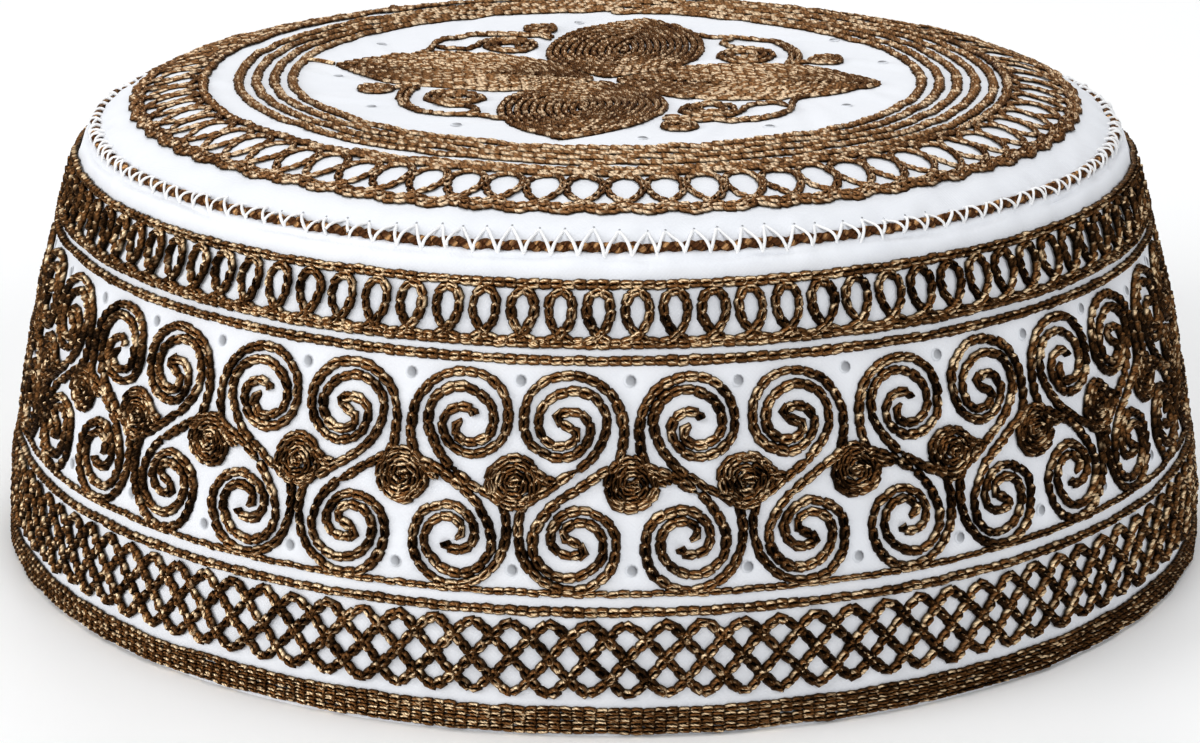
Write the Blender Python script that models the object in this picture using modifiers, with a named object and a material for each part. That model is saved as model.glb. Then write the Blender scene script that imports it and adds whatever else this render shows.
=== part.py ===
"""Embroidered kufi cap, standing on its hem: side band, crown panel, hem braid and seam cord.

Lengths are named in millimetres and built in metres, with +Z up, the cap's axis on Z and
the hem on z = 0. The cap's front looks along -Y.
"""
import math
from collections import namedtuple

import bpy
from mathutils import Vector

CAP_NAME = "kufi_cap"
METRES_PER_MM = 0.001
SEGMENTS_ROUND = 80
MERGE_DISTANCE = 0.00001
SHARP_ANGLE_DEG = 40.0

# Cloth and thread sizes
BAND_THICKNESS = 1.8
CROWN_THICKNESS = 1.6
TOUCHING_GAP = 0.3
HEM_BRAID_ROWS = 3
HEM_BRAID_CREST = 1.0
HEM_BRAID_VALLEY = 0.5
HEM_ROW_STEPS = 4
SEAM_GROOVE_HALF_WIDTH = 1.05
SEAM_GROOVE_DEPTH = 0.9
SEAM_CORD_RADIUS = 0.6
SEAM_CORD_SIDES = 8

# Outer face of the cloth, one row for each section, up the side and then in to the axis
Section = namedtuple("Section", "place radius height")
BAND_SECTIONS = [
    Section("hem edge", 92.3, 0.0),
    Section("top of the hem braid", 92.0, 4.2),
    Section("middle of the lattice", 91.2, 12.0),
    Section("foot of the scroll field", 90.0, 20.0),
    Section("lower scrolls", 88.1, 30.0),
    Section("upper scrolls", 85.8, 40.0),
    Section("head of the scroll field", 83.0, 49.5),
    Section("loop border", 80.6, 57.0),
    Section("turn of the shoulder", 79.1, 60.6),
]
SEAM_SECTION = Section("seam", 77.3, 62.7)
CROWN_SECTIONS = [
    Section("crown edge", 74.6, 64.7),
    Section("outer crown rail", 71.6, 66.0),
    Section("crown loops", 66.5, 67.5),
    Section("inner crown rail", 61.0, 68.4),
    Section("spiral rows", 55.0, 68.7),
    Section("rim of the crown centre", 47.0, 68.7),
    Section("crown centre", 30.0, 68.4),
    Section("dish of the crown", 14.0, 67.9),
    Section("crown axis", 0.0, 67.7),
]

CLOTH_COLOUR = (0.83, 0.85, 0.91, 1.0)
THREAD_COLOUR = (0.20, 0.11, 0.045, 1.0)
PIPING_COLOUR = (0.24, 0.12, 0.055, 1.0)
CLOTH_ROUGHNESS = 0.85
THREAD_ROUGHNESS = 0.45


def clear_scene():
    for obj in list(bpy.data.objects):
        bpy.data.objects.remove(obj, do_unlink=True)


def make_collection():
    collection = bpy.data.collections.new(CAP_NAME)
    bpy.context.scene.collection.children.link(collection)
    return collection


def make_material(name, colour, roughness):
    material = bpy.data.materials.new(name)
    material.use_nodes = True
    shader = material.node_tree.nodes["Principled BSDF"]
    shader.inputs["Base Color"].default_value = colour
    shader.inputs["Roughness"].default_value = roughness
    shader.inputs["Metallic"].default_value = 0.0
    return material


def point(section):
    return Vector((section.radius, section.height))


def outer_line():
    """Points of the cloth's outer face from the hem to the axis, the seam between them."""
    band = [point(row) for row in BAND_SECTIONS]
    crown = [point(row) for row in CROWN_SECTIONS]
    return band, point(SEAM_SECTION), crown


def outward_normals(points):
    """Unit normals of a line that runs up the side and in to the axis."""
    normals = []
    for index in range(len(points)):
        before = points[max(index - 1, 0)]
        after = points[min(index + 1, len(points) - 1)]
        along = (after - before).normalized()
        normals.append(Vector((along.y, -along.x)))
    return normals


def seam_frame():
    """Seam point, direction from band to crown along the cloth, and outward direction."""
    band, seam, crown = outer_line()
    along = (crown[0] - band[-1]).normalized()
    outward = Vector((along.y, -along.x))
    return seam, along, outward


def turned_object(name, profile, closed, material, collection):
    """Solid turned about Z from a profile that runs down its outer side."""
    vertices = [(p.x * METRES_PER_MM, 0.0, p.y * METRES_PER_MM) for p in profile]
    edges = [(i, i + 1) for i in range(len(profile) - 1)]
    if closed:
        edges.append((len(profile) - 1, 0))
    line = bpy.data.meshes.new(name + "_profile")
    line.from_pydata(vertices, edges, [])
    obj = bpy.data.objects.new(name, line)
    collection.objects.link(obj)

    screw = obj.modifiers.new("Turn", "SCREW")
    screw.axis = "Z"
    screw.angle = math.tau
    screw.steps = SEGMENTS_ROUND
    screw.render_steps = SEGMENTS_ROUND
    screw.use_merge_vertices = True
    screw.merge_threshold = MERGE_DISTANCE

    evaluated = obj.evaluated_get(bpy.context.evaluated_depsgraph_get())
    mesh = bpy.data.meshes.new_from_object(evaluated)
    mesh.name = name
    mesh.shade_smooth()
    mesh.set_sharp_from_angle(angle=math.radians(SHARP_ANGLE_DEG))
    mesh.materials.append(material)
    obj.modifiers.clear()
    obj.data = mesh
    bpy.data.meshes.remove(line)
    return obj


def make_side_band(material, collection):
    """Tapered wall: flat hem edge below, half of the seam's groove at its top."""
    band, seam, crown = outer_line()
    normals = outward_normals(band + [seam])
    seam_point, along, outward = seam_frame()
    lip = seam_point - along * SEAM_GROOVE_HALF_WIDTH
    edge = seam_point - along * TOUCHING_GAP / 2.0
    groove_foot = edge - outward * SEAM_GROOVE_DEPTH
    inner_top = edge - outward * BAND_THICKNESS

    inner = [p - n * BAND_THICKNESS for p, n in zip(band, normals)]
    inner[0] = Vector((band[0].x - BAND_THICKNESS, 0.0))
    profile = [groove_foot, lip] + band[::-1] + inner + [inner_top]
    return turned_object("side_band", profile, True, material, collection)


def make_crown_panel(material, collection):
    """Shallow round top with a turned-down edge, the other half of the groove at its rim."""
    band, seam, crown = outer_line()
    normals = outward_normals([seam] + crown)[1:]
    normals[-1] = Vector((0.0, 1.0))
    seam_point, along, outward = seam_frame()
    lip = seam_point + along * SEAM_GROOVE_HALF_WIDTH
    edge = seam_point + along * TOUCHING_GAP / 2.0
    groove_foot = edge - outward * SEAM_GROOVE_DEPTH
    inner_rim = edge - outward * CROWN_THICKNESS

    underside = [p - n * CROWN_THICKNESS for p, n in zip(crown, normals)]
    profile = crown[::-1] + [lip, groove_foot, inner_rim] + underside
    return turned_object("crown_panel", profile, False, material, collection)


def make_hem_braid(material, collection):
    """Rows of dense stitching round the foot of the band, ribbed outside, flat beneath."""
    foot = point(BAND_SECTIONS[0])
    head = point(BAND_SECTIONS[1])
    outward = outward_normals([foot, head])[0]
    row_share = 1.0 / HEM_BRAID_ROWS
    steps = HEM_BRAID_ROWS * HEM_ROW_STEPS
    ribs = []
    for step in range(steps + 1):
        share = step / steps
        swell = abs(math.sin(math.pi * share / row_share))
        depth = HEM_BRAID_VALLEY + (HEM_BRAID_CREST - HEM_BRAID_VALLEY) * swell
        ribs.append(foot.lerp(head, share) + outward * (TOUCHING_GAP + depth))
    ribs[0].y = 0.0
    inner_foot = foot + outward * TOUCHING_GAP
    inner_foot.y = 0.0
    inner_head = head + outward * TOUCHING_GAP
    profile = ribs[::-1] + [inner_foot, inner_head]
    return turned_object("hem_braid", profile, True, material, collection)


def make_seam_cord(material, collection):
    """Round brown cord laid in the groove between the band and the crown."""
    seam_point, along, outward = seam_frame()
    clear_of_walls = (SEAM_CORD_RADIUS + TOUCHING_GAP) * math.sqrt(2.0)
    centre = seam_point + outward * (clear_of_walls - SEAM_GROOVE_HALF_WIDTH)
    profile = []
    for side in range(SEAM_CORD_SIDES):
        angle = -math.tau * side / SEAM_CORD_SIDES
        around = along * math.sin(angle) + outward * math.cos(angle)
        profile.append(centre + around * SEAM_CORD_RADIUS)
    return turned_object("seam_cord", profile, True, material, collection)


def build_cap():
    clear_scene()
    collection = make_collection()
    cloth = make_material("white_cotton", CLOTH_COLOUR, CLOTH_ROUGHNESS)
    thread = make_material("brown_thread", THREAD_COLOUR, THREAD_ROUGHNESS)
    piping = make_material("brown_cord", PIPING_COLOUR, THREAD_ROUGHNESS)
    make_side_band(cloth, collection)
    make_crown_panel(cloth, collection)
    make_hem_braid(thread, collection)
    make_seam_cord(piping, collection)


build_cap()
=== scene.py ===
"""Dressed kufi cap: cloth wall and crown, chain-stitch embroidery, seam cord and whip stitches.

Sizes are named in millimetres on the cloth. A place on the cloth is its angle round the cap,
from the front towards the right, and its distance up the cloth from the hem.
"""
import math
from collections import namedtuple

import bmesh
import bpy
import numpy as np
from mathutils import Matrix, Vector


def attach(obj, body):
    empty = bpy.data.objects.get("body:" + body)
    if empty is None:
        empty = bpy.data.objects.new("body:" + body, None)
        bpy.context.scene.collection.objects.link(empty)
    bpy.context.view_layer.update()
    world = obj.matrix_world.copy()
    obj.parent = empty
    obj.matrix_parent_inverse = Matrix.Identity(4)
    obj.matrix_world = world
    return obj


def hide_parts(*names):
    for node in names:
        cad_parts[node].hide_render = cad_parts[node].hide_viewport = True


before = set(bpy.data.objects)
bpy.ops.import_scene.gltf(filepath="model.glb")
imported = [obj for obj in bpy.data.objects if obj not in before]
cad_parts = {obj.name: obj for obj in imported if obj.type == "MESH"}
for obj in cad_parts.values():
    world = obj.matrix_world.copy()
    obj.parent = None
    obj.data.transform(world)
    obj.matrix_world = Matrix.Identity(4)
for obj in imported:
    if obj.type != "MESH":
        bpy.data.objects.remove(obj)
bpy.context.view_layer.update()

MM = 0.001
scene = bpy.context.scene
rng = np.random.default_rng(11)

# Camera, at the photograph's angle
PHOTO_WIDTH_PX = 1200
FOCAL_PX = 3199.4
SENSOR_MM = 36.0
CAMERA_PLACE = (0.0, -0.4802, 0.1745)
CAMERA_PITCH_DEG = 17.7215
CAMERA_YAW_DEG = -0.0792
CAMERA_ROLL_DEG = 0.1710


def make_camera():
    camera = bpy.data.cameras.new("photo_camera")
    camera.sensor_fit = "HORIZONTAL"
    camera.sensor_width = SENSOR_MM
    camera.lens = FOCAL_PX / PHOTO_WIDTH_PX * SENSOR_MM
    camera.clip_start = 0.01
    camera.clip_end = 50.0
    obj = bpy.data.objects.new("photo_camera", camera)
    turn = Matrix.Rotation(math.radians(-CAMERA_YAW_DEG), 4, "Z")
    tilt = Matrix.Rotation(math.radians(90.0 - CAMERA_PITCH_DEG), 4, "X")
    roll = Matrix.Rotation(math.radians(CAMERA_ROLL_DEG), 4, "Z")
    obj.matrix_world = Matrix.Translation(CAMERA_PLACE) @ turn @ tilt @ roll
    scene.collection.objects.link(obj)
    scene.camera = obj


make_camera()

# Outer face of the cloth from the hem up the side and in to the axis
Section = namedtuple("Section", "place radius height")
SECTIONS = [
    Section("hem edge", 92.3, 0.0),
    Section("top of the hem braid", 92.0, 4.2),
    Section("middle of the lattice", 91.2, 12.0),
    Section("foot of the scroll field", 90.0, 20.0),
    Section("lower scrolls", 88.1, 30.0),
    Section("upper scrolls", 85.8, 40.0),
    Section("head of the scroll field", 83.0, 49.5),
    Section("loop border", 80.6, 57.0),
    Section("turn of the shoulder", 79.1, 60.6),
    Section("seam", 77.3, 62.7),
    Section("crown edge", 74.6, 64.7),
    Section("outer crown rail", 71.6, 66.0),
    Section("crown loops", 66.5, 67.5),
    Section("inner crown rail", 61.0, 68.4),
    Section("spiral rows", 55.0, 68.7),
    Section("rim of the crown centre", 47.0, 68.7),
    Section("crown centre", 30.0, 68.4),
    Section("dish of the crown", 14.0, 67.9),
    Section("crown axis", 0.0, 67.7),
]
WALL_THICKNESS = 1.8
CROWN_THICKNESS = 1.6
SWELL_HEIGHT = 0.096
RIPPLE_HEIGHT = 0.10
PUCKER_HEIGHT = 0.20
PUCKER_REACH = 3.2
STRIP_HEIGHT = 0.25
STRIP_BELOW_SEAM = 2.6
STRIP_REACH = 1.3
CREASE_DEPTH = 0.36
CREASE_BELOW_SEAM = 1.75
CREASE_REACH = 0.3
CREASE_WANDER = 0.3
CROWN_FADE = 20.0
ROW_POINTS = 1441


def unit(ways):
    return ways / np.linalg.norm(ways, axis=-1)[..., None]


def length_along(points):
    return np.concatenate([[0.0], np.cumsum(np.linalg.norm(np.diff(points, axis=0), axis=1))])


def smooth_through(rows, spacing):
    """Evenly spaced points on a smooth line through a few points."""
    rows = np.asarray(rows, float)
    hops = np.sqrt(np.linalg.norm(np.diff(rows, axis=0), axis=1))
    knots = np.concatenate([[0.0], np.cumsum(hops)])
    slopes = np.gradient(rows, knots, axis=0)
    at = np.linspace(0.0, knots[-1], 40 * len(rows))
    span = np.clip(np.searchsorted(knots, at, side="right") - 1, 0, len(rows) - 2)
    wide = (knots[span + 1] - knots[span])[:, None]
    u = ((at - knots[span]) / wide[:, 0])[:, None]
    dense = (
        (2 * u**3 - 3 * u**2 + 1) * rows[span]
        + (u**3 - 2 * u**2 + u) * wide * slopes[span]
        + (3 * u**2 - 2 * u**3) * rows[span + 1]
        + (u**3 - u**2) * wide * slopes[span + 1]
    )
    return evenly(dense, spacing)


def evenly(dense, spacing):
    run = length_along(dense)
    count = max(int(round(run[-1] / spacing)), 3)
    at = np.linspace(0.0, run[-1], count + 1)
    return np.stack([np.interp(at, run, column) for column in dense.T], -1)


OUTLINE = smooth_through([(s.radius, s.height) for s in SECTIONS], 0.2)
OUTLINE[-1, 0] = 0.0
ALONG = length_along(OUTLINE)
SLOPE = unit(np.gradient(OUTLINE, ALONG, axis=0))
SEAM_RADIUS = 77.3
SEAM_AT = float(np.interp(-SEAM_RADIUS, -OUTLINE[:, 0], ALONG))
CLOTH_END = float(ALONG[-1])


def radius_at(along):
    return np.interp(along, ALONG, OUTLINE[:, 0])


def height_at(along):
    return np.interp(along, ALONG, OUTLINE[:, 1])


def bell(offset, reach):
    return np.exp(-((offset / reach) ** 2))


def along_at_crown(radius):
    top = ALONG > SEAM_AT - 1.0
    return np.interp(-np.asarray(radius), -OUTLINE[top, 0], ALONG[top])


def waves(theta, counts, seed):
    """Smooth random rise and fall round the cap that meets itself."""
    phases = np.random.default_rng(seed).uniform(0.0, math.tau, len(counts))
    total = sum(np.sin(n * theta + p) for n, p in zip(counts, phases))
    return total / math.sqrt(len(counts))


def relief(theta, along):
    """How far the cloth stands off its plain round form, in millimetres."""
    swell = SWELL_HEIGHT * waves(theta + along * 0.012, (5, 8, 13), 3)
    ripple = RIPPLE_HEIGHT * waves(theta - along * 0.02, (21, 34, 47), 4)
    pucker = PUCKER_HEIGHT * waves(theta, (61, 83, 104, 127), 5) * bell(along - SEAM_AT, PUCKER_REACH)
    strip = STRIP_HEIGHT * bell(along - SEAM_AT + STRIP_BELOW_SEAM, STRIP_REACH)
    crease_at = SEAM_AT - CREASE_BELOW_SEAM + CREASE_WANDER * waves(theta, (9, 14, 23), 6)
    crease_deep = CREASE_DEPTH * (0.6 + 0.4 * waves(theta, (17, 29), 7))
    crease = crease_deep * bell(along - crease_at, CREASE_REACH)
    fade = np.clip((CLOTH_END - along) / CROWN_FADE, 0.0, 1.0)
    return (swell + ripple + pucker + strip - crease) * fade


def normal_at(theta, along):
    slope_r = np.interp(along, ALONG, SLOPE[:, 0])
    slope_z = np.interp(along, ALONG, SLOPE[:, 1])
    size = np.hypot(slope_r, slope_z)
    out, up = slope_z / size, -slope_r / size
    return np.stack([out * np.sin(theta), -out * np.cos(theta), up], -1)


def on_cap(theta, along, lift=0.0):
    """Points on the cloth, or lifted off it, in millimetres."""
    radius = radius_at(along)
    base = np.stack([radius * np.sin(theta), -radius * np.cos(theta), height_at(along)], -1)
    return base + normal_at(theta, along) * (relief(theta, along) + lift)[..., None]


# Lines of stitching, each as columns: angle round, distance up the cloth, lift


def line(theta, along, lift=0.0):
    theta, along, lift = np.broadcast_arrays(theta, along, lift)
    return np.stack([theta, along, lift], -1).astype(float)


def row_round(along, lift=0.0):
    theta = np.linspace(0.0, math.tau, ROW_POINTS)
    return line(theta, along, lift)


def crown_line(x, y, lift=0.0):
    """A line on the crown from its plan, x to the right and y to the back."""
    theta = np.unwrap(np.arctan2(x, -np.asarray(y)))
    return line(theta, along_at_crown(np.hypot(x, y)), lift)


def wall_line(x, rise, axis_deg, foot, lift=0.0):
    """A line on the wall beside an upright axis, x to the right and rise above foot."""
    along = foot + np.asarray(rise)
    return line(math.radians(axis_deg) + np.asarray(x) / radius_at(along), along, lift)


# One chain link, and links laid along lines
Stitch = namedtuple("Stitch", "pitch length half_width strand flatness seat head_rise")
STRAND_SIDES = 3
LINK_STEPS = 8
TUBE_RADIUS = 0.3
HEAD_OPENING = 0.65
SIZE_SPREAD = 0.04
SLOW_SIZE_SPREAD = 0.09
PLACE_SPREAD = 0.04
TURN_SPREAD = 0.05
LIFT_SPREAD = 0.025
TONE_SPREAD = 0.08
SLOW_TONE_SPREAD = 0.14
BRIGHTEST_TONE = 1.15
# Painted sheen: a strand's tone is raised where it runs across a fixed sheen way, and lowered elsewhere
SHEEN_MIDDLE = 0.55
SHEEN_POWER = 2.6
WALL_SHEEN_WAY = (-0.16, -0.52, 0.839)
CROWN_SHEEN_WAY = (0.0, -0.93, 0.368)
SCROLL_STITCH = Stitch(1.65, 2.20, 0.325, 0.53, 0.88, 0.16, 0.36)
LINE_STITCH = Stitch(1.50, 2.05, 0.315, 0.51, 0.88, 0.16, 0.36)
LATTICE_STITCH = Stitch(1.55, 2.05, 0.37, 0.53, 0.90, 0.16, 0.34)
THIN_STITCH = Stitch(1.50, 2.00, 0.24, 0.36, 1.0, 0.16, 0.26)
HEM_STITCH = Stitch(1.55, 2.15, 0.27, 0.36, 1.0, 0.26, 0.30)
FILL_STITCH = Stitch(1.85, 2.45, 0.33, 0.45, 0.95, 0.18, 0.32)
CROWN_STITCH = Stitch(1.60, 2.10, 0.47, 0.50, 0.72, 0.16, 0.12)
CROWN_LOOP_STITCH = Stitch(1.55, 2.05, 0.33, 0.42, 0.62, 0.12, 0.12)
PETAL_STITCH = Stitch(1.75, 2.30, 0.31, 0.39, 0.90, 0.14, 0.14)


def corners_and_faces(bm):
    """Takes a finished bmesh apart into its corners and its faces' corner numbers."""
    bm.verts.ensure_lookup_table()
    corners = np.array([v.co for v in bm.verts])
    faces = [[v.index for v in f.verts] for f in bm.faces]
    bm.free()
    return corners, faces


def link_template(stitch):
    """Corners of one closed loop of thread, x along the row, y across it and z off the cloth."""
    bm = bmesh.new()
    stand = Matrix.Translation((1.0, 0.0, 0.0)) @ Matrix.Rotation(math.radians(90.0), 4, "X")
    bmesh.ops.create_circle(bm, segments=STRAND_SIDES, radius=TUBE_RADIUS, matrix=stand)
    bmesh.ops.spin(
        bm, geom=bm.verts[:] + bm.edges[:], cent=(0, 0, 0), axis=(0, 0, 1),
        angle=math.tau, steps=LINK_STEPS, use_merge=True,
    )
    bmesh.ops.remove_doubles(bm, verts=bm.verts, dist=0.001)
    bmesh.ops.recalc_face_normals(bm, faces=bm.faces)
    corners, faces = corners_and_faces(bm)
    faces = np.array(faces)

    around = np.arctan2(corners[:, 1], corners[:, 0])
    off = (np.hypot(corners[:, 0], corners[:, 1]) - 1.0) / TUBE_RADIUS
    up = corners[:, 2] / TUBE_RADIUS
    side = np.round(np.arctan2(up, off) / (math.tau / STRAND_SIDES) - 0.75).astype(int) % STRAND_SIDES
    step = np.round(around / (math.tau / LINK_STEPS)).astype(int) % LINK_STEPS
    uv = np.stack([step[faces], side[faces]], -1).astype(float)
    for axis, full in ((0, LINK_STEPS), (1, STRAND_SIDES)):
        wraps = uv[..., axis].max(1) - uv[..., axis].min(1) > 1.5
        low = uv[..., axis] == 0
        uv[..., axis] += full * (low & wraps[:, None])

    open_wide = 1.0 + HEAD_OPENING * np.cos(around)
    thick = stitch.strand * (0.92 + 0.12 * np.cos(around))
    x = stitch.length * (0.5 + 0.5 * np.cos(around)) + thick * off * np.cos(around)
    y = stitch.half_width * np.sin(around) * open_wide + thick * off * np.sin(around)
    z = stitch.seat + stitch.head_rise * (0.5 + 0.5 * np.cos(around)) + thick * up * stitch.flatness
    run = np.stack([
        -0.5 * stitch.length * np.sin(around),
        stitch.half_width * (np.cos(around) * open_wide - 0.5 * np.sin(around) ** 2),
    ], -1)
    # The fourth result marks each strand's top corner, which the thread material uses to paint shade on
    # the lower corners
    return np.stack([x, y, z], -1), faces, uv, np.where(up > 0.5, 1.0, 0.0), unit(run)


def smooth_noise(at):
    """Slow random change along a thread, about -1 to 1."""
    total = np.zeros_like(at)
    for wavelength, share in ((61.0, 0.45), (23.0, 0.5), (9.0, 0.5), (5.0, 0.35)):
        wavelength *= rng.uniform(0.85, 1.15)
        total += share * np.sin(at * math.tau / wavelength + rng.uniform(0.0, math.tau))
    return total


def painted_sheen_share(way, on_wall):
    """Painted sheen: how far a strand of silk shines, 0 to 1, most where it runs across a fixed sheen
    way.
    """
    way = unit(way)
    lean = np.where(on_wall, way @ np.array(WALL_SHEEN_WAY), way @ np.array(CROWN_SHEEN_WAY))
    return (1.0 - lean**2) ** SHEEN_POWER


def links_on_line(cloth_line, template, run_way, stitch, closed, tone_lift):
    """Corner places and tones of the links along one line, a row for each link; the tones add painted
    sheen and a tone lift to the thread's random tone.
    """
    theta, along, lift = cloth_line.T
    path = on_cap(theta, along, lift)
    normal = normal_at(theta, along)
    run = length_along(path)
    tangent = np.gradient(path, run, axis=0)
    if closed:
        tangent[0] = tangent[-1] = (tangent[0] + tangent[-1]) / 2.0
    tangent = unit(tangent)
    side = np.cross(normal, tangent)
    count = max(int(round(run[-1] / stitch.pitch)), 1)
    pitch = run[-1] / count
    start = np.arange(count) * pitch
    grow = rng.normal(1.0, SIZE_SPREAD, (count, 1)) + SLOW_SIZE_SPREAD * smooth_noise(start)[:, None]
    shift = rng.normal(0.0, PLACE_SPREAD, (count, 1))
    slide = rng.normal(0.0, TURN_SPREAD, (count, 1))
    raised = rng.normal(0.0, LIFT_SPREAD, (count, 1))
    skew = rng.normal(0.0, TURN_SPREAD, (count, 1))
    at = start[:, None] + template[None, :, 0] * pitch / stitch.pitch + slide
    at = np.mod(at, run[-1]) if closed else np.clip(at, 0.0, run[-1])

    def sample(columns):
        return np.stack([np.interp(at, run, c) for c in columns.T], -1)

    across = template[None, :, 1] * grow + shift + skew * (template[None, :, 0] - stitch.pitch)
    places = sample(path) + sample(side) * across[..., None]
    places += sample(normal) * (template[None, :, 2] + raised)[..., None]
    tone = 0.5 + SLOW_TONE_SPREAD * smooth_noise(start) + rng.normal(0.0, TONE_SPREAD, count)
    way = sample(tangent) * run_way[None, :, :1] + sample(side) * run_way[None, :, 1:]
    # Painted sheen put into the tone: lighter where a strand runs across the sheen way
    share = painted_sheen_share(way, np.interp(at, run, along) < SEAM_AT)
    return places, np.clip(tone[:, None] + share - SHEEN_MIDDLE + tone_lift, 0.0, BRIGHTEST_TONE)


def joined_mesh(name, places, faces):
    """One mesh of many copies: places has a row of corners for each copy."""
    copies, corners = places.shape[:2]
    all_faces = (faces[None] + (np.arange(copies) * corners)[:, None, None]).reshape(-1, 4)
    mesh = bpy.data.meshes.new(name)
    mesh.vertices.add(copies * corners)
    mesh.vertices.foreach_set("co", (places * MM).ravel())
    mesh.loops.add(all_faces.size)
    mesh.loops.foreach_set("vertex_index", all_faces.ravel())
    mesh.polygons.add(len(all_faces))
    mesh.polygons.foreach_set("loop_start", np.arange(0, all_faces.size, 4))
    mesh.update(calc_edges=True)
    mesh.validate()
    mesh.shade_smooth()
    return mesh


def add_uv(mesh, name, values):
    layer = mesh.uv_layers.new(name=name)
    layer.data.foreach_set("uv", np.asarray(values, float).ravel())


def add_value(mesh, name, values):
    layer = mesh.attributes.new(name, "FLOAT", "POINT")
    layer.data.foreach_set("value", np.asarray(values, float).ravel())


def add_thread_maps(mesh, copies, uv, steps, sides, along_mm):
    """Thread map in millimetres along and turns round, and a baking map with a cell for each copy."""
    around = np.broadcast_to(uv[None, ..., 1] / sides, along_mm.shape)
    add_uv(mesh, "Thread", np.stack([along_mm, around], -1))
    grid = math.ceil(math.sqrt(copies))
    cell = np.arange(copies)[:, None, None]
    flat_u = (cell % grid + 0.05 + 0.9 * uv[None, ..., 0] / steps) / grid
    flat_v = (cell // grid + 0.05 + 0.9 * uv[None, ..., 1] / sides) / grid
    add_uv(mesh, "OFBake", np.stack([flat_u, flat_v], -1))


def add_piece(name, mesh, material, replaced=()):
    mesh.materials.append(material)
    obj = bpy.data.objects.new(name, mesh)
    scene.collection.objects.link(obj)
    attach(obj, "root")
    if replaced:
        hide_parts(*replaced)
    return obj


def chain_stitch(name, lines, stitch, material, replaced=(), tone_lift=0.0):
    """One piece of chain stitch laid along lines, given as (line, closed)."""
    template, faces, uv, crest, run_way = link_template(stitch)
    laid = [links_on_line(row, template, run_way, stitch, closed, tone_lift) for row, closed in lines]
    places, tone = (np.concatenate(part) for part in zip(*laid))
    copies = len(places)
    mesh = joined_mesh(name, places, faces)
    add_value(mesh, "ToneAndPaintedLight", tone)
    add_value(mesh, "Crest", np.tile(crest, copies))
    round_mm = 2.2 * stitch.length
    along = uv[None, ..., 0] / LINK_STEPS * round_mm + rng.uniform(0.0, 9.0, (copies, 1, 1))
    add_thread_maps(mesh, copies, uv, LINK_STEPS, STRAND_SIDES, along)
    return add_piece(name, mesh, material, replaced)


# Node helpers and materials


def node_of(tree, kind, **values):
    """A new node, set in rows from left to right in the order in which they are made."""
    node = tree.nodes.new(kind)
    made = len(tree.nodes)
    node.location = (-1800 + 220 * (made % 7), 700 - 300 * (made // 7))
    for name, value in values.items():
        setattr(node, name, value)
    return node


def feed(tree, socket, value):
    """Links a socket's value to an input, or sets a plain one."""
    if hasattr(value, "links"):
        tree.links.new(value, socket)
    else:
        socket.default_value = value


def fill(tree, node, **values):
    """Links or sets a node's inputs by name, with _ for a space, and gives its outputs."""
    for name, value in values.items():
        feed(tree, node.inputs[name.replace("_", " ")], value)
    return node.outputs


def maths(tree, operation, *values):
    node = node_of(tree, "ShaderNodeMath", operation=operation)
    for socket, value in zip(node.inputs, values):
        feed(tree, socket, value)
    return node.outputs[0]


def blend_colours(tree, share, first, second, mode="MIX"):
    node = node_of(tree, "ShaderNodeMix", data_type="RGBA", blend_type=mode)
    for index, value in ((0, share), (6, first), (7, second)):
        feed(tree, node.inputs[index], value)
    return node.outputs[2]


def ramp(tree, value, interpolation="SMOOTHSTEP", **ends):
    node = node_of(tree, "ShaderNodeMapRange", interpolation_type=interpolation)
    return fill(tree, node, Value=value, **ends)[0]


def noise(tree, vector, scale, detail):
    node = node_of(tree, "ShaderNodeTexNoise")
    return fill(tree, node, Vector=vector, Scale=scale, Detail=detail)["Fac"]


def uv_map(tree, name):
    return node_of(tree, "ShaderNodeUVMap", uv_map=name).outputs["UV"]


def object_place(tree):
    return node_of(tree, "ShaderNodeTexCoord").outputs["Object"]


def vertex_value(tree, name):
    return node_of(tree, "ShaderNodeAttribute", attribute_name=name).outputs["Fac"]


def new_group(name, vector, values, results):
    """A node group with one vector input, plain inputs and plain outputs."""
    group = bpy.data.node_groups.new(name, "ShaderNodeTree")
    group.interface.new_socket(vector, in_out="INPUT", socket_type="NodeSocketVector")
    for value in values:
        group.interface.new_socket(value, in_out="INPUT", socket_type="NodeSocketFloat")
    for result in results:
        group.interface.new_socket(result, in_out="OUTPUT", socket_type="NodeSocketFloat")
    entry = node_of(group, "NodeGroupInput").outputs
    split = node_of(group, "ShaderNodeSeparateXYZ")
    group.links.new(entry[vector], split.inputs[0])
    return group, entry, split.outputs


def make_spun_thread_group():
    """Twisted plies on a thread: their ridges, and which ply shows."""
    group, entry, place = new_group(
        "spun_thread", "Along and around",
        ("Turns in a millimetre", "Plies", "Colour turns in a millimetre"), ("Ridge", "Ply"),
    )
    turns = maths(group, "MULTIPLY", place["X"], entry["Turns in a millimetre"])
    angle = maths(group, "MULTIPLY", maths(group, "ADD", turns, place["Y"]), math.tau)
    half = maths(group, "MULTIPLY", maths(group, "MULTIPLY", angle, entry["Plies"]), 0.5)
    ridge = maths(group, "ABSOLUTE", maths(group, "SINE", half))
    slow = maths(group, "MULTIPLY", place["X"], entry["Colour turns in a millimetre"])
    slow = maths(group, "ADD", slow, maths(group, "MULTIPLY", place["Y"], 0.35))
    wave = maths(group, "SINE", maths(group, "MULTIPLY", slow, math.tau))
    ply = maths(group, "MULTIPLY_ADD", wave, 0.5, 0.5)
    leave = node_of(group, "NodeGroupOutput")
    group.links.new(ridge, leave.inputs["Ridge"])
    group.links.new(ply, leave.inputs["Ply"])
    return group


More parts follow.
